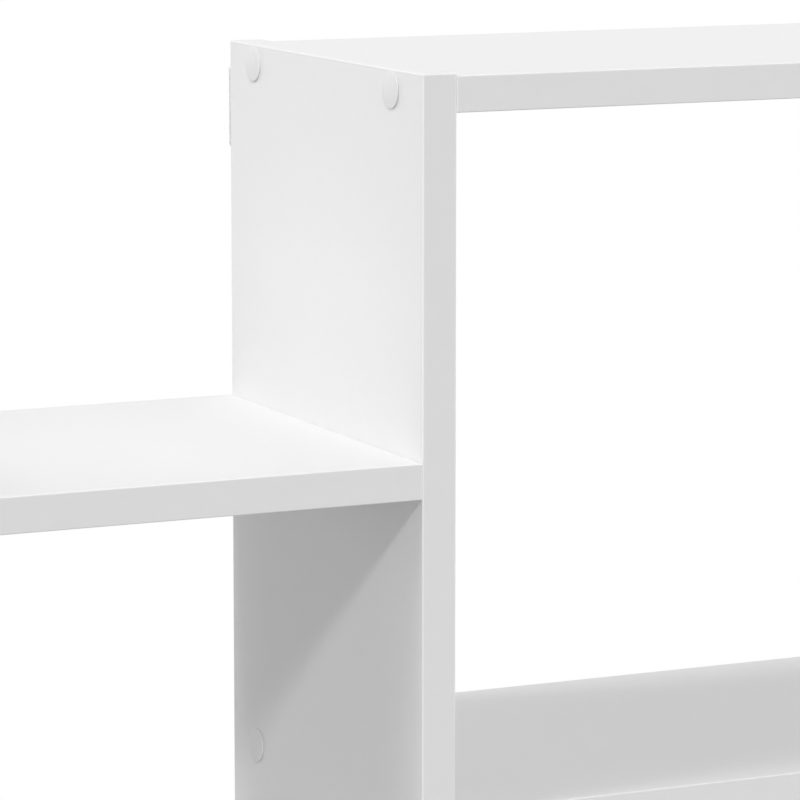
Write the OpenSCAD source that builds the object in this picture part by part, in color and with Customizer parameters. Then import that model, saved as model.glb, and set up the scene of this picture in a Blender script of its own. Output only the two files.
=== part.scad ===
// Wall shelf made of eleven white melamine-faced boards, in millimetres.
// The origin is in the middle of the outline, at the lowest point. X runs to the right,
// Y runs from the front to the wall, and Z is up. The shelf is its own mirror image in X.

/* [Overall size] */
// Width over the outer faces of the end panels
overall_w = 1050; // [900:10:1200]
// Height of the inner panels
overall_h = 625; // [560:5:720]
// Depth of every board, from its front edge to its back edge
board_d = 200; // [180:5:260]
// Thickness of every board
board_t = 15; // [14:1:20]

/* [Layout] */
// Clear width between the inner panels
centre_w = 530; // [450:10:650]
// Drop from the top of the inner panels to the upper side shelves, and rise to the lower ones
side_drop = 158; // [120:2:190]
// Length of the end panels above the upper side shelves, and below the lower ones
end_rise = 60; // [45:5:90]
// Step from the ends of the inner panels to the faces of the top and bottom boards
end_step = 1; // [0.5:0.5:4]

/* [Edge bands] */
// Thickness of the band on each edge of a board
band_t = 1; // [1:0.1:2]
// Radius of the rounded arrises of the bands
arris_r = 0.5; // [0.3:0.1:0.9]
// Gap between two bands where they meet at a corner
band_gap = 0.05; // [0.05:0.05:0.3]

/* [Connecting screws] */
// Diameter of the shank and of the thread's crests
screw_d = 7; // [5.5:0.5:8]
// Diameter of the thread's root
screw_root_d = 4.8; // [3:0.2:5]
// Length over all
screw_len = 50; // [40:5:70]
// Pitch of the thread
screw_pitch = 3; // [2:0.5:4]
// Length of the point
screw_point = 2; // [1:0.5:4]
// Diameter of the head
head_d = 10; // [9:0.5:12]
// Thickness of the rim of the head
head_t = 1; // [0.5:0.5:2]
// Depth of the head below the face of the panel
head_sink = 0.4; // [0.2:0.1:1]
// Width of the hexagon socket across its flats
socket_w = 4; // [3:0.5:5]
// Depth of the hexagon socket
socket_depth = 3; // [2:0.5:4]
// Distance of the front screws from the front edge
front_inset = 30; // [20:0.5:50]
// Distance of the back screws from the back edge
back_inset = 27; // [20:0.5:50]
// Radial clearance round the connecting screws
screw_clear = 0.1; // [0.05:0.05:0.3]

/* [Screw caps] */
// Diameter of a cap
cap_d = 15; // [12:0.5:16]
// Radius of the rounded rim of a cap
cap_rim_r = 0.25; // [0.15:0.05:0.35]
// Height of the wall of a cap, from the face of the panel to the top of the rim
cap_wall = 0.8; // [0.6:0.1:1.5]
// Amount by which the wall draws in from the rim to its foot on the panel
cap_taper = 0.35; // [0.2:0.05:0.8]
// Rise of the domed face above the rim
cap_dome = 0.5; // [0.3:0.1:1.5]
// Clearance round the peg of a cap in the hexagon socket
peg_clear = 0.05; // [0.05:0.05:0.3]
// Room left below the peg
peg_room = 0.5; // [0.2:0.1:1]

/* [Dowels] */
// Diameter
dowel_d = 8; // [6:0.5:10]
// Length
dowel_len = 30; // [25:5:40]
// Length of a dowel that sits in the panel
dowel_in_panel = 10; // [6:0.5:11]
// Chamfer at each end
dowel_chamfer = 1; // [0.5:0.5:2]
// Radial clearance round a dowel
dowel_clear = 0.05; // [0.05:0.05:0.2]
// Room left in the hole beyond each end of a dowel
dowel_room = 0.5; // [0.5:0.5:2]

/* [Wall hangers] */
// Height of a hanger plate
hanger_h = 39; // [34:1:50]
// Thickness of a hanger plate
hanger_t = 2; // [1.5:0.1:3]
// Margin from the sides of the panel to the hanger plate
hanger_margin = 0.25; // [0.1:0.05:0.5]
// Corner radius of a hanger plate
hanger_corner_r = 3.5; // [2:0.5:5]
// Drop from the top of a panel to the hanger plate
hanger_drop = 9.5; // [5:0.5:30]
// Diameter of the keyhole's round entry
entry_d = 9.5; // [8:0.5:10]
// Width of the keyhole's slot
slot_w = 4.8; // [4:0.2:6]
// Rise from the middle of the entry to the top seat of the slot
slot_rise = 8.5; // [6:0.5:9]
// Drop from the middle of the plate to the middle of the entry
entry_drop = 4.5; // [4:0.5:5]
// Depth of the pocket behind the keyhole
pocket_depth = 7; // [5:0.5:10]
// Margin of the pocket round the head of the wall screw
pocket_margin = 0.5; // [0.2:0.1:0.8]

/* [Hanger screws] */
// Distance between the two screws of a hanger plate
fixing_pitch = 27; // [26:0.5:28]
// Diameter of the shank
fixing_d = 3.5; // [3:0.1:4]
// Diameter of the countersunk head
fixing_head_d = 6.4; // [5.5:0.1:6.6]
// Length over all
fixing_len = 16; // [12:1:20]
// Length of the point
fixing_point = 3; // [1:0.5:4]
// Depth of the head below the face of the hanger plate
fixing_sink = 0.1; // [0.05:0.05:0.3]
// Width of the arms of the cross recess
cross_w = 0.8; // [0.6:0.1:1]
// Span of the cross recess
cross_span = 3.4; // [2.5:0.1:4]
// Depth of the cross recess
cross_depth = 1.2; // [0.8:0.1:1.5]
// Radial clearance round the hanger screws
fixing_clear = 0.1; // [0.05:0.05:0.2]

/* [Colours] */
// Colour of the melamine faces
face_colour = "#F5F5F5";
// Colour of the edge bands
band_colour = "#EEEEEE";
// Colour of the screw caps
cap_colour = "#F2F2F2";
// Colour of the zinc-plated steel
steel_colour = "#C9CCCF";
// Colour of the beech dowels
dowel_colour = "#D9B98A";

/* [Hidden] */
$fn = 64;

// The hanger plates stand proud of the back edges, so the boards sit that much further forward
front_y = -(board_d + hanger_t) / 2;
back_y = front_y + board_d;

// Distances of the panels' faces from the middle plane
inner_face = centre_w / 2;
inner_back_face = inner_face + board_t;
end_back_face = overall_w / 2;
end_face = end_back_face - board_t;
side_len = end_face - inner_back_face;

// Mid-planes of the horizontal boards, from the lowest up
centre_zs = [end_step + board_t / 2, overall_h / 2, overall_h - end_step - board_t / 2];
side_zs = [side_drop + board_t / 2, overall_h - side_drop - board_t / 2];

// The end panels run past the side shelves by the same length above and below
end_bottom = side_drop - end_rise;
end_top = overall_h - end_bottom;

// Places of the screws and the dowels along the depth of a joint
screw_ys = [front_y + front_inset, back_y - back_inset];
dowel_ys = [(front_y + back_y) / 2];

// A row of joints: where the screw heads sit in X, which way the screws run, and the mid-planes
centre_joints = [-inner_back_face, 1, centre_zs];
side_joints = [-inner_face, -1, side_zs];
end_joints = [-end_back_face, 1, side_zs];

peg_len = head_sink + socket_depth - peg_room;
hanger_w = board_t - 2 * hanger_margin;
pocket_d = entry_d + 2 * pocket_margin;

// A small overshoot, so that a cut leaves no skin
over = 0.5;

// Turns the flats of a hexagon into the diameter of its corners
function hexagon_d(flats) = flats / cos(30);

// The same joints at one mid-plane only
function joints_at(joints, z) = [joints[0], joints[1], [z]];

// Rectangle with rounded corners, from the origin
module rounded_rectangle(w, h, r) {
    translate([r, 0])
        square([w - 2 * r, h]);
    translate([0, r])
        square([w, h - 2 * r]);
    for (x = [r, w - r], y = [r, h - r])
        translate([x, y])
            circle(r);
}

// Whole board with rounded arrises: length along X, depth along Y, thickness along Z
module board_outline(length) {
    intersection() {
        linear_extrude(board_t)
            rounded_rectangle(length, board_d, arris_r);
        rotate([90, 0, 90])
            linear_extrude(length)
                rounded_rectangle(board_d, board_t, arris_r);
        translate([0, board_d, 0])
            rotate([90, 0, 0])
                linear_extrude(board_d)
                    rounded_rectangle(length, board_t, arris_r);
    }
}

// Chipboard core with its two melamine faces, inside the bands
module board_core(length) {
    translate([band_t, band_t, 0])
        cube([length - 2 * band_t, board_d - 2 * band_t, board_t]);
}

// Four bands: the long ones run through, and the short ones fit between them
module board_bands(length) {
    for (y = [0, board_d - band_t])
        intersection() {
            board_outline(length);
            translate([0, y, 0])
                cube([length, band_t, board_t]);
        }
    for (x = [0, length - band_t])
        intersection() {
            board_outline(length);
            translate([x, band_t + band_gap, 0])
                cube([band_t, board_d - 2 * (band_t + band_gap), board_t]);
        }
}

// Lays a board flat with its left end at x and its mid-plane at z
module lay_flat(x, z) {
    translate([x, front_y, z - board_t / 2])
        children();
}

// Stands a board up with its left face at x and its lower end at z
module stand_up(x, z) {
    translate([x + board_t, front_y, z])
        rotate([0, -90, 0])
            children();
}

// The right half repeats the left half
module on_right() {
    mirror([1, 0, 0])
        children();
}

// Puts its children at each joint of a row, with +Z running into the panel from the screw heads
module at_joints(joints, ys) {
    for (z = joints[2], y = ys)
        translate([joints[0], y, z])
            rotate([0, 90 * joints[1], 0])
                children();
}

// Connecting screw: flat countersunk head, plain shank through the panel, ringed thread
module connecting_screw() {
    cone = (head_d - screw_d) / 2;
    flank = (screw_d - screw_root_d) / 2;
    thread_start = board_t - head_sink;
    turns = floor((screw_len - screw_point - thread_start) / screw_pitch);
    translate([0, 0, head_sink])
        difference() {
            rotate_extrude()
                polygon(concat(
                    [[0, 0], [head_d / 2, 0], [head_d / 2, head_t]],
                    [[screw_d / 2, head_t + cone], [screw_d / 2, thread_start - flank]],
                    [for (i = [0:turns - 1], at = [0, 1])
                        at == 0
                            ? [screw_root_d / 2, thread_start + i * screw_pitch]
                            : [screw_d / 2, thread_start + (i + 0.5) * screw_pitch]],
                    [[screw_root_d / 2, thread_start + turns * screw_pitch]],
                    [[screw_root_d / 2, screw_len - screw_point], [0, screw_len]]));
            translate([0, 0, -over])
                cylinder(d = hexagon_d(socket_w), h = socket_depth + over, $fn = 6);
        }
}

// Hole for a connecting screw: countersunk in the panel and blind in the shelf
module screw_hole() {
    head_r = head_d / 2 + screw_clear;
    shank_r = screw_d / 2 + screw_clear;
    rim = head_sink + head_t + screw_clear;
    end = head_sink + screw_len + screw_clear;
    rotate_extrude()
        polygon([
            [0, -over],
            [head_r, -over],
            [head_r, rim],
            [shank_r, rim + head_r - shank_r],
            [shank_r, end],
            [0, end]
        ]);
}

// Domed cap that lies on the panel over a screw head, with a peg in its socket
module screw_cap() {
    flat_r = cap_d / 2 - cap_rim_r;
    foot_r = cap_d / 2 - cap_taper;
    rim_z = cap_wall - cap_rim_r;
    dome_r = (pow(flat_r, 2) + pow(cap_dome, 2)) / (2 * cap_dome);
    rotate([180, 0, 0])
        rotate_extrude() {
            translate([flat_r, rim_z])
                circle(cap_rim_r);
            polygon([
                [0, 0],
                [foot_r, 0],
                [cap_d / 2, rim_z],
                [flat_r, rim_z],
                [flat_r, cap_wall],
                [0, cap_wall]
            ]);
            intersection() {
                translate([0, cap_wall + cap_dome - dome_r])
                    circle(dome_r, $fn = 720);
                translate([0, rim_z])
                    square([flat_r, cap_rim_r + cap_dome]);
            }
        }
    cylinder(d = hexagon_d(socket_w - 2 * peg_clear), h = peg_len, $fn = 6);
}

// Dowel that bridges the face between the panel and the shelf
module dowel() {
    translate([0, 0, board_t - dowel_in_panel])
        rotate_extrude()
            polygon([
                [0, 0],
                [dowel_d / 2 - dowel_chamfer, 0],
                [dowel_d / 2, dowel_chamfer],
                [dowel_d / 2, dowel_len - dowel_chamfer],
                [dowel_d / 2 - dowel_chamfer, dowel_len],
                [0, dowel_len]
            ]);
}

// Hole for a dowel, blind at both ends
module dowel_hole() {
    translate([0, 0, board_t - dowel_in_panel - dowel_room])
        cylinder(d = dowel_d + 2 * dowel_clear, h = dowel_len + 2 * dowel_room);
}

// All the holes of a row of joints
module joint_holes(joints) {
    at_joints(joints, screw_ys)
        screw_hole();
    at_joints(joints, dowel_ys)
        dowel_hole();
}

// Puts its children at the hanger of a panel, with +Y up and +Z running towards the wall
module at_hanger(face_x, back_x, panel_top) {
    translate([-(face_x + back_x) / 2, back_y, panel_top - hanger_drop - hanger_h / 2])
        rotate([90, 0, 180])
            children();
}

// Puts its children at both screws of a hanger plate, with +Z running into the panel
module at_fixings() {
    for (y = [-fixing_pitch / 2, fixing_pitch / 2])
        translate([0, y, hanger_t])
            rotate([180, 0, 0])
                children();
}

// Hanger screw, or its hole with a clearance, whose head starts at the given depth
module fixing_outline(start, clear) {
    head_r = fixing_head_d / 2 + clear;
    shank_r = fixing_d / 2 + clear;
    tip = fixing_sink + fixing_len + clear;
    rotate_extrude()
        polygon([
            [0, start],
            [head_r, start],
            [head_r, fixing_sink],
            [shank_r, fixing_sink + head_r - shank_r],
            [shank_r, tip - fixing_point],
            [0, tip]
        ]);
}

// Countersunk screw with a cross recess
module fixing_screw() {
    difference() {
        fixing_outline(fixing_sink, 0);
        for (size = [[cross_span, cross_w], [cross_w, cross_span]])
            translate([-size[0] / 2, -size[1] / 2, -over])
                cube([size[0], size[1], fixing_sink + cross_depth + over]);
    }
}

// Steel plate with an upright keyhole
module hanger_plate() {
    difference() {
        linear_extrude(hanger_t)
            difference() {
                translate([-hanger_w / 2, -hanger_h / 2])
                    rounded_rectangle(hanger_w, hanger_h, hanger_corner_r);
                translate([0, -entry_drop])
                    circle(d = entry_d);
                translate([-slot_w / 2, -entry_drop])
                    square([slot_w, slot_rise]);
                translate([0, slot_rise - entry_drop])
                    circle(d = slot_w);
            }
        at_fixings()
            fixing_outline(-over, fixing_clear);
    }
}

// Pocket in the back edge for the head of the wall screw, and holes for the hanger screws
module hanger_cuts() {
    translate([0, -entry_drop, -pocket_depth])
        cylinder(d = pocket_d, h = pocket_depth + over);
    translate([0, slot_rise - entry_drop, -pocket_depth])
        cylinder(d = pocket_d, h = pocket_depth + over);
    translate([-pocket_d / 2, -entry_drop, -pocket_depth])
        cube([pocket_d, slot_rise, pocket_depth + over]);
    at_fixings()
        fixing_outline(-over, fixing_clear);
}

// Inner panel on the left, made of the board part that it is given
module inner_panel() {
    difference() {
        stand_up(-inner_back_face, 0)
            children();
        joint_holes(centre_joints);
        joint_holes(side_joints);
        at_hanger(inner_face, inner_back_face, overall_h)
            hanger_cuts();
    }
}

// End panel on the left
module end_panel() {
    difference() {
        stand_up(-end_back_face, end_bottom)
            children();
        joint_holes(end_joints);
        at_hanger(end_face, end_back_face, end_top)
            hanger_cuts();
    }
}

// Board between the inner panels
module centre_board(z) {
    difference() {
        lay_flat(-inner_face, z)
            children();
        joint_holes(joints_at(centre_joints, z));
        on_right()
            joint_holes(joints_at(centre_joints, z));
    }
}

// Shelf between the inner panel and the end panel on the left
module side_shelf(z) {
    difference() {
        lay_flat(-end_face, z)
            children();
        joint_holes(joints_at(side_joints, z));
        joint_holes(joints_at(end_joints, z));
    }
}

module inner_panel_left() color(face_colour) inner_panel() board_core(overall_h);
module inner_panel_right() on_right() inner_panel_left();
module end_panel_left() color(face_colour) end_panel() board_core(end_top - end_bottom);
module end_panel_right() on_right() end_panel_left();
module top_board() color(face_colour) centre_board(centre_zs[2]) board_core(centre_w);
module middle_shelf() color(face_colour) centre_board(centre_zs[1]) board_core(centre_w);
module bottom_board() color(face_colour) centre_board(centre_zs[0]) board_core(centre_w);
module upper_shelf_left() color(face_colour) side_shelf(side_zs[1]) board_core(side_len);
module upper_shelf_right() on_right() upper_shelf_left();
module lower_shelf_left() color(face_colour) side_shelf(side_zs[0]) board_core(side_len);
module lower_shelf_right() on_right() lower_shelf_left();

module inner_panel_edging_left() color(band_colour) inner_panel() board_bands(overall_h);
module inner_panel_edging_right() on_right() inner_panel_edging_left();
module end_panel_edging_left() color(band_colour) end_panel() board_bands(end_top - end_bottom);
module end_panel_edging_right() on_right() end_panel_edging_left();
module top_board_edging() color(band_colour) centre_board(centre_zs[2]) board_bands(centre_w);
module middle_shelf_edging() color(band_colour) centre_board(centre_zs[1]) board_bands(centre_w);
module bottom_board_edging() color(band_colour) centre_board(centre_zs[0]) board_bands(centre_w);
module upper_shelf_edging_left() color(band_colour) side_shelf(side_zs[1]) board_bands(side_len);
module upper_shelf_edging_right() on_right() upper_shelf_edging_left();
module lower_shelf_edging_left() color(band_colour) side_shelf(side_zs[0]) board_bands(side_len);
module lower_shelf_edging_right() on_right() lower_shelf_edging_left();

module centre_screws_left() color(steel_colour) at_joints(centre_joints, screw_ys) connecting_screw();
module centre_screws_right() on_right() centre_screws_left();
module side_screws_left() color(steel_colour) at_joints(side_joints, screw_ys) connecting_screw();
module side_screws_right() on_right() side_screws_left();
module end_screws_left() color(steel_colour) at_joints(end_joints, screw_ys) connecting_screw();
module end_screws_right() on_right() end_screws_left();

module centre_caps_left() color(cap_colour) at_joints(centre_joints, screw_ys) screw_cap();
module centre_caps_right() on_right() centre_caps_left();
module side_caps_left() color(cap_colour) at_joints(side_joints, screw_ys) screw_cap();
module side_caps_right() on_right() side_caps_left();
module end_caps_left() color(cap_colour) at_joints(end_joints, screw_ys) screw_cap();
module end_caps_right() on_right() end_caps_left();

module inner_dowels_left() color(dowel_colour) {
    at_joints(centre_joints, dowel_ys)
        dowel();
    at_joints(side_joints, dowel_ys)
        dowel();
}
module inner_dowels_right() on_right() inner_dowels_left();
module end_dowels_left() color(dowel_colour) at_joints(end_joints, dowel_ys) dowel();
module end_dowels_right() on_right() end_dowels_left();

module inner_hanger_left() color(steel_colour)
    at_hanger(inner_face, inner_back_face, overall_h) hanger_plate();
module inner_hanger_right() on_right() inner_hanger_left();
module end_hanger_left() color(steel_colour)
    at_hanger(end_face, end_back_face, end_top) hanger_plate();
module end_hanger_right() on_right() end_hanger_left();
module inner_hanger_screws_left() color(steel_colour)
    at_hanger(inner_face, inner_back_face, overall_h) at_fixings() fixing_screw();
module inner_hanger_screws_right() on_right() inner_hanger_screws_left();
module end_hanger_screws_left() color(steel_colour)
    at_hanger(end_face, end_back_face, end_top) at_fixings() fixing_screw();
module end_hanger_screws_right() on_right() end_hanger_screws_left();

inner_panel_left();
inner_panel_right();
end_panel_left();
end_panel_right();
top_board();
middle_shelf();
bottom_board();
upper_shelf_left();
upper_shelf_right();
lower_shelf_left();
lower_shelf_right();
inner_panel_edging_left();
inner_panel_edging_right();
end_panel_edging_left();
end_panel_edging_right();
top_board_edging();
middle_shelf_edging();
bottom_board_edging();
upper_shelf_edging_left();
upper_shelf_edging_right();
lower_shelf_edging_left();
lower_shelf_edging_right();
centre_screws_left();
centre_screws_right();
side_screws_left();
side_screws_right();
end_screws_left();
end_screws_right();
centre_caps_left();
centre_caps_right();
side_caps_left();
side_caps_right();
end_caps_left();
end_caps_right();
inner_dowels_left();
inner_dowels_right();
end_dowels_left();
end_dowels_right();
inner_hanger_left();
inner_hanger_right();
end_hanger_left();
end_hanger_right();
inner_hanger_screws_left();
inner_hanger_screws_right();
end_hanger_screws_left();
end_hanger_screws_right();
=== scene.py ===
# %% [markdown]
# # A white wall shelf
#
# The real thing is a wall shelf made of eleven boards: white melamine on a chipboard core, with a white
# plastic band on every edge. Screws hold the boards together, round caps hide the screws, and four steel
# plates with keyholes hang the shelf on a wall.
#
# The model of its construction comes in as a fixed frame, one object for each part. We could model the
# boards again here, but they are already exact, so we only give them their finish, and remake the few
# small parts whose shape has more in it than the frame holds.

# %% Load the frame
import math

import bpy
from mathutils import Matrix, Vector


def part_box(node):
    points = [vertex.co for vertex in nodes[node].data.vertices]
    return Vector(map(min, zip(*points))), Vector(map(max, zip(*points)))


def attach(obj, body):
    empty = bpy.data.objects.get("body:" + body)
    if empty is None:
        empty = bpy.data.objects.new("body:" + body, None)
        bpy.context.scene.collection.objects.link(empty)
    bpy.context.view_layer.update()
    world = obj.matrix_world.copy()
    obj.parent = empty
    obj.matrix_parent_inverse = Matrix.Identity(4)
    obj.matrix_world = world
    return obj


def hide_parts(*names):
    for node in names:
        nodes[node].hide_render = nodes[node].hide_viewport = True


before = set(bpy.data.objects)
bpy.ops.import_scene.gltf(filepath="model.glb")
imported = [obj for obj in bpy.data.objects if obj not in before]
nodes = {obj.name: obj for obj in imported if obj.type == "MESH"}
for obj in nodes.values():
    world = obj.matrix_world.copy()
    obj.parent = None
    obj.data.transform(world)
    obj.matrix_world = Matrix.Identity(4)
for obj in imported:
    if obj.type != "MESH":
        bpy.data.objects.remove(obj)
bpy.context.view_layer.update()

MM = 0.001
for plain_colour in list(bpy.data.materials):
    bpy.data.materials.remove(plain_colour)

# %% [markdown]
# ## The camera
#
# The photograph looks at the upper left corner of the shelf from far away with a long lens. We could
# move a camera about until the picture looks right. It is better to work it out from the straight edges
# of the boards, which gives one lens, one place and three angles.

# %% Set up the camera
LENS_MM = 195.55
SENSOR_MM = 36.0
CAMERA_PLACE = Vector((-1.0195, -1.6720, 0.7694))
CAMERA_YAW = math.radians(24.904)
CAMERA_PITCH = math.radians(-9.038)
CAMERA_ROLL = math.radians(0.010)
NEAREST_SEEN = 0.05
FARTHEST_SEEN = 200.0


def turn(angle, axis):
    """A rotation about one axis, ready to be multiplied with others."""
    return Matrix.Rotation(angle, 4, axis)


lens = bpy.data.cameras.new("portrait_lens")
lens.lens = LENS_MM
lens.sensor_width = SENSOR_MM
lens.clip_start = NEAREST_SEEN
lens.clip_end = FARTHEST_SEEN
camera = bpy.data.objects.new("portrait_camera", lens)
bpy.context.scene.collection.objects.link(camera)
level = turn(math.pi / 2 + CAMERA_PITCH, "X")
camera.matrix_world = (Matrix.Translation(CAMERA_PLACE) @ turn(-CAMERA_YAW, "Z") @ level
                       @ turn(CAMERA_ROLL, "Z"))
bpy.context.scene.camera = camera
bpy.context.scene.view_settings.view_transform = "Standard"
print(f"camera {CAMERA_PLACE.length:.2f} m from the middle of the shelf's foot")

# %% [markdown]
# ## Nodes without the noise
#
# Every finish below is a small tree of shader nodes. Writing each node and link in full would bury the
# idea, so three short helpers do the plumbing.

# %% Helpers for node trees


def put(socket, value, tree):
    """Sets a socket from a number or a colour, or links it to another socket."""
    if isinstance(value, bpy.types.NodeSocket):
        tree.links.new(value, socket)
    elif value is not None:
        socket.default_value = value


def calculate(tree, operation, *values):
    """A math node on numbers or sockets."""
    node = tree.nodes.new("ShaderNodeMath")
    node.operation = operation
    for socket, value in zip(node.inputs, values):
        put(socket, value, tree)
    return node.outputs[0]


def blend(tree, share, first, second):
    """Mixes two colours, each given as a socket or as (r, g, b)."""
    node = tree.nodes.new("ShaderNodeMix")
    node.data_type = "RGBA"
    put(node.inputs["Factor"], share, tree)
    for name, value in (("A", first), ("B", second)):
        socket = [s for s in node.inputs if s.name == name and s.type == "RGBA"][0]
        put(socket, value if isinstance(value, bpy.types.NodeSocket) else (*value, 1.0), tree)
    return [s for s in node.outputs if s.type == "RGBA"][0]


def mask_any(tree, *masks):
    """1 where any of the masks is 1."""
    found = masks[0]
    for mask in masks[1:]:
        found = calculate(tree, "MAXIMUM", found, mask)
    return found


def seen_directly(tree):
    """1 for rays from the camera, and for those that metal and gloss reflect."""
    path = tree.nodes.new("ShaderNodeLightPath")
    return mask_any(tree, *(path.outputs[f"Is {kind} Ray"] for kind in ("Camera", "Glossy", "Transmission")))


# %% [markdown]
# ## The studio
#
# White on white lives from its light. The photograph has a broad sky, one lamp high on the left, which
# puts the left faces and the tops near white, and a second one in front, which draws the slanting shadow
# below the side shelf. Weak ones stand lower on the left, on the right and behind, and high on the right.
# Each lamp is a sun with a wide disc: its light is the same over the whole shelf, and its shadows get
# softer with distance, as below a large soft box.
#
# The lamps' strengths are given as the brightness of a white card that faces them.

# %% Choose the lamps
# azimuth, elevation and width of the disc in degrees, and the brightness of the card
LAMPS = {
    "key_left": (92.0, 57.0, 12.0, 0.232),
    "fill_left": (84.0, 40.0, 12.0, 0.085),
    "front": (21.0, 36.0, 6.0, 0.367),
    "low_left": (90.0, 6.0, 24.0, 0.11),
    "low_right": (320.0, 10.0, 24.0, 0.14),
    "high_right": (270.0, 70.0, 20.0, 0.075),
    "low_back": (165.0, 6.0, 20.0, 0.17),
}
print(f"{len(LAMPS)} lamps: {', '.join(LAMPS)}")

# %% Switch on the lamps


def aim(azimuth, elevation):
    """The direction towards a lamp: azimuth 0 is in front, 90 on the left, 180 behind."""
    a = math.radians(azimuth)
    e = math.radians(elevation)
    return Vector((-math.sin(a) * math.cos(e), -math.cos(a) * math.cos(e), math.sin(e)))


def add_lamp(name, azimuth, elevation, disc_degrees, card_level):
    """A soft sun whose light alone makes a white card that faces it card_level bright."""
    light = bpy.data.lights.new(name, "SUN")
    light.energy = math.pi * card_level
    light.angle = math.radians(disc_degrees)
    lamp = bpy.data.objects.new(name, light)
    bpy.context.scene.collection.objects.link(lamp)
    lamp.rotation_mode = "QUATERNION"
    lamp.rotation_quaternion = aim(azimuth, elevation).to_track_quat("Z", "Y")
    return lamp


for lamp_name, lamp_values in LAMPS.items():
    lamp = add_lamp(lamp_name, *lamp_values)
    print(f"{lamp.name}: {lamp.data.energy:.2f} W/m2")

# %% Hang the sky
SKY_LEVEL = 0.376
sky = bpy.data.worlds.new("studio_sky")
sky.use_nodes = True
bpy.context.scene.world = sky
sky_tree = sky.node_tree
sky_light = sky_tree.nodes["Background"]
sky_light.inputs["Color"].default_value = (1.0, 1.0, 1.0, 1.0)
direct = seen_directly(sky_tree)
sky_strength = calculate(sky_tree, "MULTIPLY_ADD", direct, 1.0 - SKY_LEVEL, SKY_LEVEL)
sky_tree.links.new(sky_strength, sky_light.inputs["Strength"])
print(f"a sky at {SKY_LEVEL}, and white to look at")

# %% [markdown]
# ## The floor
#
# The shelf stands on a plain pale floor. A white floor that is bright enough to vanish would throw too
# much light up at the shelf, so the floor is a pale grey, and a little light of its own, which only the
# camera and reflections see, lifts it to white. The shelf's soft shadow stays on it.

# %% Lay the floor
FLOOR_SIZE = 60.0
FLOOR_TONE = 0.40
floor_light = SKY_LEVEL + sum(
    level * math.sin(math.radians(elevation)) for _, elevation, _, level in LAMPS.values())
floor_lift = 1.0 - FLOOR_TONE * floor_light


def floor_finish():
    """Pale grey for light that bounces, white for the camera."""
    material = bpy.data.materials.new("pale_floor")
    material.use_nodes = True
    tree = material.node_tree
    surface = tree.nodes["Principled BSDF"]
    surface.inputs["Base Color"].default_value = (FLOOR_TONE, FLOOR_TONE, FLOOR_TONE, 1.0)
    surface.inputs["Roughness"].default_value = 1.0
    surface.inputs["Specular IOR Level"].default_value = 0.0
    surface.inputs["Emission Color"].default_value = (1.0, 1.0, 1.0, 1.0)
    glow = calculate(tree, "MULTIPLY", seen_directly(tree), floor_lift)
    put(surface.inputs["Emission Strength"], glow, tree)
    return material


half_floor = FLOOR_SIZE / 2
floor_mesh = bpy.data.meshes.new("floor")
floor_corners = [(x * half_floor, y * half_floor, 0.0) for x, y in ((-1, -1), (1, -1), (1, 1), (-1, 1))]
floor_mesh.from_pydata(floor_corners, [], [(0, 1, 2, 3)])
floor_mesh.materials.append(floor_finish())
floor = bpy.data.objects.new("floor", floor_mesh)
bpy.context.scene.collection.objects.link(floor)
print(f"floor light {floor_light:.2f}, lifted by {floor_lift:.2f}")

# %% [markdown]
# ## Melamine on chipboard
#
# A melamine face is a printed paper pressed into resin: plain white, satin, with a fine grain that the
# press plate leaves. Below it the board is brown chips, which show only inside the holes. One material
# can hold both, because the white film lies on the two faces of each board and nowhere else: a point
# nearer to a face than the film's thickness is white, and any other is chipboard.

# %% Helpers for finishes
NOISE_RANGE = (0.3, 0.7)


def object_coordinates(tree):
    """Separate X, Y, Z of a point on the object, in metres, and the point itself."""
    place = tree.nodes.new("ShaderNodeTexCoord").outputs["Object"]
    split = tree.nodes.new("ShaderNodeSeparateXYZ")
    tree.links.new(place, split.inputs[0])
    return place, dict(zip("XYZ", split.outputs))


def noise(tree, place, grains_per_metre, detail=2.0, roughness=0.5):
    """Smooth noise with about that many grains in a metre."""
    node = tree.nodes.new("ShaderNodeTexNoise")
    put(node.inputs["Vector"], place, tree)
    node.inputs["Scale"].default_value = grains_per_metre
    node.inputs["Detail"].default_value = detail
    node.inputs["Roughness"].default_value = roughness
    return node.outputs["Fac"]


def spread(tree, value, low, high):
    """Carries noise from its usual range over to low..high."""
    node = tree.nodes.new("ShaderNodeMapRange")
    put(node.inputs["Value"], value, tree)
    node.inputs["From Min"].default_value = NOISE_RANGE[0]
    node.inputs["From Max"].default_value = NOISE_RANGE[1]
    node.inputs["To Min"].default_value = low
    node.inputs["To Max"].default_value = high
    return node.outputs["Result"]


def raise_surface(tree, height, depth, shader):
    """Bump from a height of 0 to 1 that stands for depth in metres."""
    node = tree.nodes.new("ShaderNodeBump")
    put(node.inputs["Height"], height, tree)
    node.inputs["Strength"].default_value = 1.0
    node.inputs["Distance"].default_value = depth
    tree.links.new(node.outputs["Normal"], shader.inputs["Normal"])


def new_finish(name):
    """An empty material, its tree and its shader."""
    material = bpy.data.materials.new(name)
    material.use_nodes = True
    return material, material.node_tree, material.node_tree.nodes["Principled BSDF"]


# %% Find the faces of a board


def near(tree, value, target, distance):
    """1 where value is within distance of target."""
    return calculate(tree, "COMPARE", value, target, distance)


def share_limits(tree, axes, node_name):
    """The ends of a part on each axis; a left and a right part share them, as X is folded to the right."""
    low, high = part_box(node_name)
    mirrored = low.x * high.x > 0
    if mirrored:
        axes["X"] = calculate(tree, "ABSOLUTE", axes["X"])
    return {axis: sorted(abs(v) if mirrored and axis == "X" else v for v in pair)
            for axis, pair in zip("XYZ", zip(low, high))}


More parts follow.
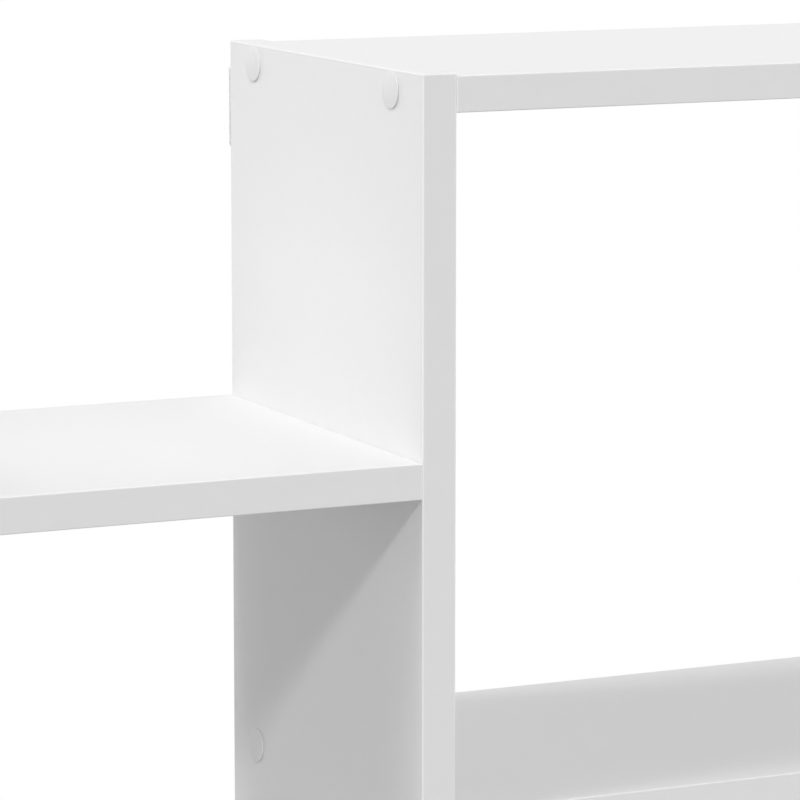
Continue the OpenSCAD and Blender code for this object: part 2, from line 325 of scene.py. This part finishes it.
# %% Mix melamine and chipboard
FILM_THICKNESS = 0.15 * MM
GLUE_LINE = 0.08 * MM
FILM_WHITE = (0.87, 0.87, 0.87)
FILM_SHADE = (0.862, 0.862, 0.862)
GLUE_SHADE = (0.70, 0.69, 0.67)
CHIP_COLOURS = ((0.30, 0.20, 0.115), (0.58, 0.43, 0.27))
CHIPS_PER_METRE = 700.0
DUST_PER_METRE = 1500.0
CHIP_EXTRA_ROUGHNESS = 0.4
FILM_CLOUDS_PER_METRE = 220.0
FILM_GRAINS_PER_METRE = 900.0
FILM_ROUGHNESS = (0.52, 0.60)
PRESS_GRAINS_PER_METRE = 1400.0
PRESS_GRAIN_DEPTH = 0.006 * MM
SATIN_SPECULAR = 0.3


def melamine_board(name, thin_axis, node_name):
    """White film on the two faces that the thin axis crosses, and chipboard elsewhere."""
    material, tree, shader = new_finish(name)
    place, axes = object_coordinates(tree)
    limits = share_limits(tree, axes, node_name)
    film = mask_any(tree, *(near(tree, axes[thin_axis], v, FILM_THICKNESS) for v in limits[thin_axis]))
    rims = [near(tree, axes[axis], v, GLUE_LINE) for axis in "XYZ" if axis != thin_axis
            for v in limits[axis]]
    chips = tree.nodes.new("ShaderNodeTexVoronoi")
    put(chips.inputs["Vector"], place, tree)
    chips.inputs["Scale"].default_value = CHIPS_PER_METRE
    chip_tone = calculate(tree, "ADD", chips.outputs["Distance"], noise(tree, place, DUST_PER_METRE))
    chipboard = blend(tree, chip_tone, *CHIP_COLOURS)
    cloud = spread(tree, noise(tree, place, FILM_CLOUDS_PER_METRE, detail=3.0), 0.0, 1.0)
    white = blend(tree, cloud, FILM_WHITE, FILM_SHADE)
    white = blend(tree, mask_any(tree, *rims), white, GLUE_SHADE)
    put(shader.inputs["Base Color"], blend(tree, film, chipboard, white), tree)
    satin = spread(tree, noise(tree, place, FILM_GRAINS_PER_METRE), *FILM_ROUGHNESS)
    bare = calculate(tree, "SUBTRACT", 1.0, film)
    rough = calculate(tree, "MULTIPLY_ADD", bare, CHIP_EXTRA_ROUGHNESS, satin)
    put(shader.inputs["Roughness"], rough, tree)
    shader.inputs["Specular IOR Level"].default_value = SATIN_SPECULAR
    raise_surface(tree, noise(tree, place, PRESS_GRAINS_PER_METRE), PRESS_GRAIN_DEPTH, shader)
    return material


# %% Dress the boards
# the axis that crosses the two faces, and the parts of this kind
BOARDS = {
    "inner_panel": ("X", ("inner_panel_left", "inner_panel_right")),
    "end_panel": ("X", ("end_panel_left", "end_panel_right")),
    "top_board": ("Z", ("top_board",)),
    "middle_shelf": ("Z", ("middle_shelf",)),
    "bottom_board": ("Z", ("bottom_board",)),
    "upper_shelf": ("Z", ("upper_shelf_left", "upper_shelf_right")),
    "lower_shelf": ("Z", ("lower_shelf_left", "lower_shelf_right")),
}


def dress(node_name, material):
    """Gives a part of the frame one material."""
    slots = nodes[node_name].data.materials
    slots.clear()
    slots.append(material)


for board, (thin_axis, parts) in BOARDS.items():
    board_finish = melamine_board(f"melamine_{board}", thin_axis, parts[0])
    for part in parts:
        dress(part, board_finish)
print(f"{len(BOARDS)} board finishes")

# %% [markdown]
# ## Edge bands
#
# The bands are strips of coloured plastic, ironed on, trimmed and scraped round. They are a touch
# smoother than the faces, and the scraper leaves faint waves along them. A wave texture would be too
# regular, so noise is stretched along the band.
#
# Scraping strains the plastic, which turns a little paler there. On top of that, a painted highlight is laid
# along each
# arris: a fine light line, stronger on the upright arrises, which also lightens the shade in the joints
# between boards. We could select those faces by hand, but a rule finds them: a point on an arris is close to
# two pairs of the board's faces at once, so the middle one of its three depths is small.

# %% Find the arrises for the pale strain and the painted highlight
STRAIN_AND_HIGHLIGHT_WIDTH = 0.45 * MM
STRAIN_AND_HIGHLIGHT_FADE = 0.8 * MM
STRAIN_AND_HIGHLIGHT_ALL = 0.3
# the extra on upright arrises is painted highlight only, which lightens the shade in the joints
UPRIGHT_PAINTED_HIGHLIGHT = 0.7


def depth_inside(tree, value, ends):
    """How far a coordinate lies inside the nearer one of two ends."""
    return calculate(tree, "MINIMUM", calculate(tree, "SUBTRACT", value, ends[0]),
                     calculate(tree, "SUBTRACT", ends[1], value))


def fade_out(tree, depth):
    """1 up to the width of the pale strain and painted highlight, and 0 further in than the fade."""
    node = tree.nodes.new("ShaderNodeMapRange")
    put(node.inputs["Value"], depth, tree)
    node.inputs["From Min"].default_value = STRAIN_AND_HIGHLIGHT_FADE
    node.inputs["From Max"].default_value = STRAIN_AND_HIGHLIGHT_WIDTH
    return node.outputs["Result"]


def strain_and_highlight_at_arris(tree, axes, limits):
    """Where the pale strain and painted highlight go: 1 on an upright arris, less on a level one, and 0 away
    from both.
    """
    x, y, z = (depth_inside(tree, axes[axis], limits[axis]) for axis in "XYZ")
    less = calculate(tree, "MINIMUM", x, y)
    more = calculate(tree, "MAXIMUM", x, y)
    middle = calculate(tree, "MAXIMUM", less, calculate(tree, "MINIMUM", more, z))
    everywhere = calculate(tree, "MULTIPLY", fade_out(tree, middle), STRAIN_AND_HIGHLIGHT_ALL)
    return calculate(tree, "MULTIPLY_ADD", fade_out(tree, more), UPRIGHT_PAINTED_HIGHLIGHT, everywhere)


# %% Mix the plastic of the bands
BAND_WHITE = (0.865, 0.865, 0.865)
BAND_SHADE = (0.855, 0.855, 0.855)
BAND_CLOUDS_PER_METRE = 120.0
BAND_ROUGHNESS = (0.46, 0.54)
WAVES_PER_METRE = 1600.0
WAVES_ALONG = 0.04
WAVE_DEPTH = 0.004 * MM
# the paler arris colour is partly strained plastic and partly painted highlight
STRAIN_AND_HIGHLIGHT_WHITE = (0.96, 0.96, 0.96)
STRAIN_AND_HIGHLIGHT_PATCHES_PER_METRE = 90.0
STRAIN_AND_HIGHLIGHT_EVENNESS = (0.75, 1.0)


def edge_band(name, long_axis, node_name):
    """Plastic band with faint scraper waves across the long axis, and arrises made paler by strain and a
    painted highlight.
    """
    material, tree, shader = new_finish(name)
    place, axes = object_coordinates(tree)
    limits = share_limits(tree, axes, node_name)
    stretch = tree.nodes.new("ShaderNodeMapping")
    put(stretch.inputs["Vector"], place, tree)
    stretch.inputs["Scale"].default_value = tuple(WAVES_ALONG if axis == long_axis else 1.0 for axis in "XYZ")
    waves = noise(tree, stretch.outputs["Vector"], WAVES_PER_METRE)
    cloud = spread(tree, noise(tree, place, BAND_CLOUDS_PER_METRE, detail=3.0), 0.0, 1.0)
    white = blend(tree, cloud, BAND_WHITE, BAND_SHADE)
    patches = spread(tree, noise(tree, place, STRAIN_AND_HIGHLIGHT_PATCHES_PER_METRE), *STRAIN_AND_HIGHLIGHT_EVENNESS)
    strain_and_highlight = calculate(tree, "MULTIPLY", strain_and_highlight_at_arris(tree, axes, limits), patches)
    # blends in the pale strain and painted highlight along the arrises
    put(shader.inputs["Base Color"], blend(tree, strain_and_highlight, white, STRAIN_AND_HIGHLIGHT_WHITE), tree)
    put(shader.inputs["Roughness"], spread(tree, waves, *BAND_ROUGHNESS), tree)
    shader.inputs["Specular IOR Level"].default_value = SATIN_SPECULAR
    raise_surface(tree, waves, WAVE_DEPTH, shader)
    return material


# %% Dress the bands
for board, (_, parts) in BOARDS.items():
    bands = [part.replace(board, f"{board}_edging") for part in parts]
    band_finish = edge_band(f"edge_band_{board}", "Z" if "panel" in board else "X", bands[0])
    for band in bands:
        dress(band, band_finish)
print(f"{sum('edging' in name for name in nodes)} parts with bands")

# %% [markdown]
# ## Caps, steel and beech
#
# The caps are moulded plastic with the very fine grain of their mould. The hangers and screws are steel
# with a zinc coat, which has a fine crystal mottle. The dowels are turned from beech, with the grain
# along them. A scanned picture could give each of these, but it would fit one size only. So all three
# are noise at the right scale, stretched where the real one has a direction.

# %% Mix the plastic of the caps
CAP_WHITE = (0.84, 0.84, 0.84)
CAP_SHADE = (0.832, 0.832, 0.832)
CAP_CLOUDS_PER_METRE = 300.0
CAP_ROUGHNESS = (0.54, 0.62)
MOULD_GRAINS_PER_METRE = 2500.0
MOULD_GRAIN_DEPTH = 0.002 * MM


def cap_plastic():
    """Moulded plastic with the fine grain of its mould."""
    material, tree, shader = new_finish("cap_plastic")
    place, _ = object_coordinates(tree)
    cloud = spread(tree, noise(tree, place, CAP_CLOUDS_PER_METRE), 0.0, 1.0)
    put(shader.inputs["Base Color"], blend(tree, cloud, CAP_WHITE, CAP_SHADE), tree)
    grain = noise(tree, place, MOULD_GRAINS_PER_METRE, detail=1.0)
    put(shader.inputs["Roughness"], spread(tree, grain, *CAP_ROUGHNESS), tree)
    shader.inputs["Specular IOR Level"].default_value = SATIN_SPECULAR
    raise_surface(tree, grain, MOULD_GRAIN_DEPTH, shader)
    return material


# %% Mix the zinc coat
ZINC_BRIGHT = (0.555, 0.56, 0.565)
ZINC_DULL = (0.455, 0.46, 0.465)
CRYSTALS_PER_METRE = 900.0
MOTTLE_PER_METRE = 350.0
CRYSTAL_DEPTH = 0.008 * MM
ZINC_GRAINS_PER_METRE = 1200.0
ZINC_ROUGHNESS = (0.54, 0.66)


def zinc_steel():
    """Zinc-plated steel with a crystal mottle."""
    material, tree, shader = new_finish("zinc_steel")
    place, _ = object_coordinates(tree)
    crystals = tree.nodes.new("ShaderNodeTexVoronoi")
    put(crystals.inputs["Vector"], place, tree)
    crystals.inputs["Scale"].default_value = CRYSTALS_PER_METRE
    patches = noise(tree, place, MOTTLE_PER_METRE, detail=3.0)
    mottle = calculate(tree, "MULTIPLY", crystals.outputs["Distance"], patches)
    put(shader.inputs["Base Color"], blend(tree, mottle, ZINC_BRIGHT, ZINC_DULL), tree)
    shader.inputs["Metallic"].default_value = 1.0
    grain = noise(tree, place, ZINC_GRAINS_PER_METRE, detail=3.0)
    put(shader.inputs["Roughness"], spread(tree, grain, *ZINC_ROUGHNESS), tree)
    raise_surface(tree, mottle, CRYSTAL_DEPTH, shader)
    return material


# %% Mix the beech
BEECH_PALE = (0.62, 0.41, 0.23)
BEECH_DARK = (0.45, 0.27, 0.14)
BEECH_GRAINS_PER_METRE = 900.0
BEECH_GRAIN_ALONG = 0.08
BEECH_GRAIN_DEPTH = 0.03 * MM
BEECH_ROUGHNESS = (0.5, 0.65)


def beech():
    """Beech with its grain and short dark rays along X."""
    material, tree, shader = new_finish("beech")
    place, _ = object_coordinates(tree)
    stretch = tree.nodes.new("ShaderNodeMapping")
    put(stretch.inputs["Vector"], place, tree)
    stretch.inputs["Scale"].default_value = (BEECH_GRAIN_ALONG, 1.0, 1.0)
    grain = noise(tree, stretch.outputs["Vector"], BEECH_GRAINS_PER_METRE, detail=4.0, roughness=0.6)
    tone = spread(tree, grain, 0.0, 1.0)
    put(shader.inputs["Base Color"], blend(tree, tone, BEECH_PALE, BEECH_DARK), tree)
    put(shader.inputs["Roughness"], spread(tree, grain, *BEECH_ROUGHNESS), tree)
    raise_surface(tree, grain, BEECH_GRAIN_DEPTH, shader)
    return material


# %% Dress the small parts
SMALL_PARTS = {"caps": cap_plastic(), "screws": zinc_steel(), "dowels": beech()}
SMALL_PARTS["hanger"] = SMALL_PARTS["screws"]
for node_name in nodes:
    for kind, finish in SMALL_PARTS.items():
        if kind in node_name:
            dress(node_name, finish)
            break
print(f"{sum(any(kind in name for kind in SMALL_PARTS) for name in nodes)} small parts")

# %% [markdown]
# ## Making what repeats with Geometry Nodes
#
# The shelf has 28 caps and 28 connecting screws. We could model one of each by hand and copy it, but a
# tree of geometry nodes keeps the rule of the shape: change the diameter, and all of them follow.
#
# Every tree here works alike. A flat grid is rolled up: one side of the grid becomes the way round, and
# the other becomes the way along the profile, so the shape is a formula for the radius and the height.
# Then the finished piece is put on each point of a small mesh that holds nothing but the places.

# %% Start a geometry tree


def add(tree, kind, **inputs):
    """A node with its inputs set by name, where an underscore stands for a space."""
    node = tree.nodes.new(kind)
    for name, value in inputs.items():
        put(node.inputs[name.replace("_", " ")], value, tree)
    return node


def new_tree(name, sizes):
    """A geometry tree with a named input for each size, and its input and output sockets."""
    tree = bpy.data.node_groups.new(name, "GeometryNodeTree")
    tree.is_modifier = True
    tree.interface.new_socket("Geometry", in_out="INPUT", socket_type="NodeSocketGeometry")
    tree.interface.new_socket("Geometry", in_out="OUTPUT", socket_type="NodeSocketGeometry")
    kinds = {float: "Float", tuple: "Vector", bpy.types.Material: "Material"}
    for label, default in sizes.items():
        kind = f"NodeSocket{kinds[type(default)]}"
        tree.interface.new_socket(label, in_out="INPUT", socket_type=kind).default_value = default
    return tree, tree.nodes.new("NodeGroupInput").outputs, tree.nodes.new("NodeGroupOutput").inputs[0]


# %% Roll up a grid
MERGE_DISTANCE = 0.001 * MM


def share_of(tree, value, start, end):
    """0 up to start, 1 from end on, and even in between."""
    node = add(tree, "ShaderNodeMapRange", Value=value, From_Min=start, From_Max=end)
    return node.outputs["Result"]


def roll_up(tree, rows, segments, radius_and_height):
    """A grid rolled round Z: the formula turns (way along 0 to 1, angle) into a radius and a height."""
    grid = add(tree, "GeometryNodeMeshGrid", Size_X=1.0, Size_Y=1.0, Vertices_X=rows + 1,
               Vertices_Y=segments + 1)
    spot = add(tree, "ShaderNodeSeparateXYZ", Vector=tree.nodes.new("GeometryNodeInputPosition").outputs[0])
    along = calculate(tree, "ADD", spot.outputs["X"], 0.5)
    angle = calculate(tree, "MULTIPLY_ADD", spot.outputs["Y"], math.tau, math.pi)
    radius, height = radius_and_height(along, angle)
    sideways = calculate(tree, "MULTIPLY", radius, calculate(tree, "COSINE", angle))
    forwards = calculate(tree, "MULTIPLY", radius, calculate(tree, "SINE", angle))
    place = add(tree, "ShaderNodeCombineXYZ", X=sideways, Y=forwards, Z=height)
    rolled = add(tree, "GeometryNodeSetPosition", Geometry=grid.outputs["Mesh"], Position=place.outputs[0])
    closed = add(tree, "GeometryNodeMergeByDistance", Geometry=rolled.outputs[0], Distance=MERGE_DISTANCE)
    return closed.outputs[0]


# %% Put a piece on its places


def put_on_points(tree, points, piece, outward, finish):
    """Puts the piece on every point with its Z along outward, and makes one plain mesh of all."""
    turned = add(tree, "FunctionNodeAlignRotationToVector", Vector=outward)
    turned.axis = "Z"
    copies = add(tree, "GeometryNodeInstanceOnPoints", Points=points, Instance=piece,
                 Rotation=turned.outputs[0])
    real = add(tree, "GeometryNodeRealizeInstances", Geometry=copies.outputs[0])
    return add(tree, "GeometryNodeSetMaterial", Geometry=real.outputs[0], Material=finish).outputs[0]


def grow(name, tree, places, sizes, node_name):
    """Runs the tree on the places, keeps the plain mesh, and lets it stand for a part of the frame."""
    seeds = bpy.data.meshes.new(f"{name}_places")
    seeds.from_pydata(places, [], [])
    seedling = bpy.data.objects.new(f"{name}_seedling", seeds)
    bpy.context.scene.collection.objects.link(seedling)
    modifier = seedling.modifiers.new("grow", "NODES")
    modifier.node_group = tree
    for item in tree.interface.items_tree:
        if item.item_type == "SOCKET" and item.in_out == "INPUT" and item.name in sizes:
            modifier[item.identifier] = sizes[item.name]
    grown = bpy.data.meshes.new_from_object(
        seedling.evaluated_get(bpy.context.evaluated_depsgraph_get()))
    bpy.data.objects.remove(seedling)
    grown.name = name
    # the first slot comes from the mesh of places and is empty
    grown.materials.pop(index=0)
    piece = bpy.data.objects.new(name, grown)
    bpy.context.scene.collection.objects.link(piece)
    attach(piece, "root")
    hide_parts(node_name)
    return piece


# %% [markdown]
# ## Where the joints are
#
# Each joint has two screws, one near the front edge and one near the back, level with the middle of its
# board. We don't type those places in: the boards' boxes give the heights, the panels' boxes give the
# faces, and the box of the caps gives the two depths.

# %% Find the joints


def middle_height(node_name):
    """Height of the middle of a part."""
    low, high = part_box(node_name)
    return (low.z + high.z) / 2


centre_heights = [middle_height(name) for name in ("bottom_board", "middle_shelf", "top_board")]
side_heights = [middle_height(name) for name in ("lower_shelf_left", "upper_shelf_left")]
caps_low, caps_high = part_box("centre_caps_left")
cap_radius = centre_heights[0] - caps_low.z
joint_depths = (caps_low.y + cap_radius, caps_high.y - cap_radius)
inner_outside, inner_inside = (corner.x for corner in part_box("inner_panel_left"))
end_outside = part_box("end_panel_left")[0].x
JOINTS = {
    "centre": (inner_outside, -1.0, centre_heights),
    "side": (inner_inside, 1.0, side_heights),
    "end": (end_outside, -1.0, side_heights),
}


def joint_places(row, side):
    """Points on the panel's face where the screws of a row of joints start, and the way out of it."""
    face, outward, heights = JOINTS[row]
    mirror = 1.0 if side == "left" else -1.0
    places = [(face * mirror, depth, height) for height in heights for depth in joint_depths]
    return places, (outward * mirror, 0.0, 0.0)


print(f"cap diameter {cap_radius * 2 / MM:.1f} mm, depths {[round(d / MM, 1) for d in joint_depths]} mm")

# %% [markdown]
# ## Screw caps
#
# A cap is a thin round button of white plastic, a little domed, with a six-sided peg that is pushed into
# the socket of the screw. Its wall draws in towards the panel, and that is what the photograph shows: a
# thin dark line along the lower and the front side of each cap, where the wall looks away from the light.
# So the grid follows the true profile: down the dome, round the tight rim, in along the wall and back
# along the underside.

# %% Sizes of a cap
CAP_RIM_RADIUS = 0.25 * MM
CAP_WALL = 0.8 * MM
CAP_TAPER = 0.35 * MM
CAP_RISE = 0.5 * MM
PEG_CORNER_RADIUS = 2.252 * MM
PEG_LENGTH = 2.9 * MM
DOME_ROWS = 12
RIM_ROWS = 8
WALL_ROWS = 3
UNDERSIDE_ROWS = 3
CAP_ROWS = DOME_ROWS + RIM_ROWS + WALL_ROWS + UNDERSIDE_ROWS
DOME_END = DOME_ROWS / CAP_ROWS
RIM_END = (DOME_ROWS + RIM_ROWS) / CAP_ROWS
WALL_END = (DOME_ROWS + RIM_ROWS + WALL_ROWS) / CAP_ROWS
CAP_SEGMENTS = 48
PEG_TOP_IN_WALL = 0.5
print(f"a cap stands {(CAP_WALL + CAP_RISE) / MM:.1f} mm proud")

# %% Grow a cap


def cap_tree():
    """Geometry nodes for a domed cap with a peg."""
    tree, size, result = new_tree("screw_cap", {
        "Cap radius": cap_radius, "Rim radius": CAP_RIM_RADIUS, "Wall": CAP_WALL, "Taper": CAP_TAPER,
        "Rise": CAP_RISE, "Peg radius": PEG_CORNER_RADIUS, "Peg length": PEG_LENGTH,
        "Outward": (0.0, 0.0, 1.0), "Finish": SMALL_PARTS["caps"]})
    rim = size["Rim radius"]
    rise = size["Rise"]
    taper = size["Taper"]
    seat = calculate(tree, "SUBTRACT", size["Cap radius"], rim)
    seat_squared = calculate(tree, "MULTIPLY", seat, seat)
    ball = calculate(tree, "DIVIDE", calculate(tree, "MULTIPLY_ADD", rise, rise, seat_squared),
                     calculate(tree, "MULTIPLY", rise, 2.0))
    foot = calculate(tree, "SUBTRACT", size["Cap radius"], taper)

    def profile(along, angle):
        base = calculate(tree, "MULTIPLY", seat, share_of(tree, along, 0.0, DOME_END))
        fall = calculate(tree, "MULTIPLY", base, base)
        dome = calculate(tree, "SQRT", calculate(tree, "MULTIPLY_ADD", ball, ball,
                                                 calculate(tree, "MULTIPLY", fall, -1.0)))
        crown = calculate(tree, "ADD", calculate(tree, "SUBTRACT", dome, ball), rise)
        bend = calculate(tree, "MULTIPLY_ADD", share_of(tree, along, DOME_END, RIM_END), -math.pi / 2,
                         math.pi / 2)
        wide = calculate(tree, "MULTIPLY_ADD", rim, calculate(tree, "COSINE", bend), base)
        drawn_in = calculate(tree, "MULTIPLY", taper, share_of(tree, along, RIM_END, WALL_END))
        drawn_in = calculate(tree, "MULTIPLY_ADD", foot, share_of(tree, along, WALL_END, 1.0), drawn_in)
        lip = calculate(tree, "MULTIPLY_ADD", rim, calculate(tree, "SINE", bend), crown)
        up = calculate(tree, "SUBTRACT", 1.0, share_of(tree, along, RIM_END, WALL_END))
        wall = calculate(tree, "MULTIPLY", calculate(tree, "SUBTRACT", size["Wall"], rim), up)
        return calculate(tree, "SUBTRACT", wide, drawn_in), calculate(tree, "ADD", lip, wall)

    button = roll_up(tree, CAP_ROWS, CAP_SEGMENTS, profile)
    smooth = add(tree, "GeometryNodeSetShadeSmooth", Geometry=button)
    peg_top = calculate(tree, "MULTIPLY", size["Wall"], PEG_TOP_IN_WALL)
    peg_height = calculate(tree, "ADD", peg_top, size["Peg length"])
    peg_middle = calculate(tree, "MULTIPLY", calculate(tree, "SUBTRACT", peg_top, size["Peg length"]), 0.5)
    stick = add(tree, "GeometryNodeMeshCylinder", Vertices=6, Radius=size["Peg radius"], Depth=peg_height)
    lowered = add(tree, "ShaderNodeCombineXYZ", Z=peg_middle)
    peg = add(tree, "GeometryNodeTransform", Geometry=stick.outputs["Mesh"], Translation=lowered.outputs[0])
    union = tree.nodes.new("GeometryNodeMeshBoolean")
    union.operation = "UNION"
    tree.links.new(smooth.outputs[0], union.inputs["Mesh 2"])
    tree.links.new(peg.outputs[0], union.inputs["Mesh 2"])
    all_caps = put_on_points(tree, size["Geometry"], union.outputs["Mesh"], size["Outward"], size["Finish"])
    tree.links.new(all_caps, result)
    return tree


# %% Make the caps
caps = cap_tree()
for row in JOINTS:
    for side in ("left", "right"):
        spots, outward = joint_places(row, side)
        made = grow(f"{row}_caps_{side}_moulded", caps, spots, {"Outward": outward}, f"{row}_caps_{side}")
        print(f"{made.name}: {len(spots)} caps, {len(made.data.polygons)} faces")

# %% [markdown]
# ## Connecting screws
#
# The screws are out of sight below the caps, but anyone who takes the model apart finds them. A screw's
# thread is one long ridge that winds round. The grid makes that easy: the radius rises and falls with
# the way along the shank plus the angle, one turn for each pitch, so that the ridge closes on itself.
# The first rows of the grid go down into the six-sided socket before the profile starts.

# %% Sizes of a screw
HEAD_RADIUS = 5.0 * MM
HEAD_RIM = 1.0 * MM
HEAD_SINK = 0.4 * MM
SHANK_RADIUS = 3.5 * MM
ROOT_RADIUS = 2.4 * MM
SCREW_LENGTH = 50.0 * MM
THREAD_START = 14.6 * MM
THREAD_PITCH = 3.0 * MM
POINT_LENGTH = 2.0 * MM
SOCKET_FLAT_RADIUS = 2.0 * MM
SOCKET_DEPTH = 3.0 * MM
SOCKET_ROWS = 3
SHANK_ROWS = 200
SCREW_ROWS = SOCKET_ROWS + SHANK_ROWS
SCREW_SEGMENTS = 24
LAST_DEEP_ROW = 1
HALF_A_ROW = 0.5
print(f"the thread winds round {(SCREW_LENGTH - THREAD_START) / THREAD_PITCH:.1f} times")

# %% Grow a screw


def screw_tree():
    """Geometry nodes for a flat-headed screw with a six-sided socket and a wound thread."""
    tree, size, result = new_tree("connecting_screw", {
        "Head radius": HEAD_RADIUS, "Head rim": HEAD_RIM, "Sink": HEAD_SINK, "Shank radius": SHANK_RADIUS,
        "Root radius": ROOT_RADIUS, "Length": SCREW_LENGTH, "Thread start": THREAD_START,
        "Pitch": THREAD_PITCH, "Point length": POINT_LENGTH, "Socket radius": SOCKET_FLAT_RADIUS,
        "Socket depth": SOCKET_DEPTH, "Outward": (0.0, 0.0, 1.0), "Finish": SMALL_PARTS["screws"]})

    def profile(along, angle):
        row = calculate(tree, "ROUND", calculate(tree, "MULTIPLY", along, float(SCREW_ROWS)))
        depth = calculate(tree, "MULTIPLY", size["Length"],
                          share_of(tree, row, float(SOCKET_ROWS), float(SCREW_ROWS)))
        cone = calculate(tree, "ADD", size["Head radius"], size["Head rim"])
        cone = calculate(tree, "SUBTRACT", cone, depth)
        cone = calculate(tree, "MINIMUM", cone, size["Head radius"])
        turns = calculate(tree, "MULTIPLY_ADD", angle, -1.0 / math.tau,
                          calculate(tree, "DIVIDE", depth, size["Pitch"]))
        ridge = calculate(tree, "PINGPONG", calculate(tree, "MULTIPLY", turns, 2.0), 1.0)
        wound = calculate(tree, "MULTIPLY_ADD", ridge,
                          calculate(tree, "SUBTRACT", size["Shank radius"], size["Root radius"]),
                          size["Root radius"])
        plain = calculate(tree, "LESS_THAN", depth, size["Thread start"])
        shank = calculate(tree, "MAXIMUM", wound, calculate(tree, "MULTIPLY", plain, size["Shank radius"]))
        left = calculate(tree, "SUBTRACT", size["Length"], depth)
        point = calculate(tree, "MULTIPLY", calculate(tree, "DIVIDE", left, size["Point length"]),
                          size["Root radius"])
        body = calculate(tree, "MINIMUM", calculate(tree, "MAXIMUM", shank, cone), point)
        corner = calculate(tree, "PINGPONG", calculate(tree, "ADD", angle, math.pi / 6), math.pi / 6)
        socket = calculate(tree, "DIVIDE", size["Socket radius"], calculate(tree, "COSINE", corner))
        socket = calculate(tree, "MULTIPLY", socket, calculate(tree, "MINIMUM", row, 1.0))
        inside = calculate(tree, "LESS_THAN", row, SOCKET_ROWS - HALF_A_ROW)
        deep = calculate(tree, "LESS_THAN", row, LAST_DEEP_ROW + HALF_A_ROW)
        radius = add(tree, "ShaderNodeMix", Factor=inside, A=body, B=socket).outputs[0]
        reach = calculate(tree, "MULTIPLY_ADD", deep, size["Socket depth"], depth)
        return radius, calculate(tree, "SUBTRACT", calculate(tree, "MULTIPLY", reach, -1.0), size["Sink"])

    screw = roll_up(tree, SCREW_ROWS, SCREW_SEGMENTS, profile)
    tree.links.new(put_on_points(tree, size["Geometry"], screw, size["Outward"], size["Finish"]), result)
    return tree


# %% Make the connecting screws
screws = screw_tree()
for row in JOINTS:
    for side in ("left", "right"):
        spots, outward = joint_places(row, side)
        made = grow(f"{row}_screws_{side}_threaded", screws, spots, {"Outward": outward},
                    f"{row}_screws_{side}")
        print(f"{made.name}: {len(spots)} screws, {len(made.data.polygons)} faces")
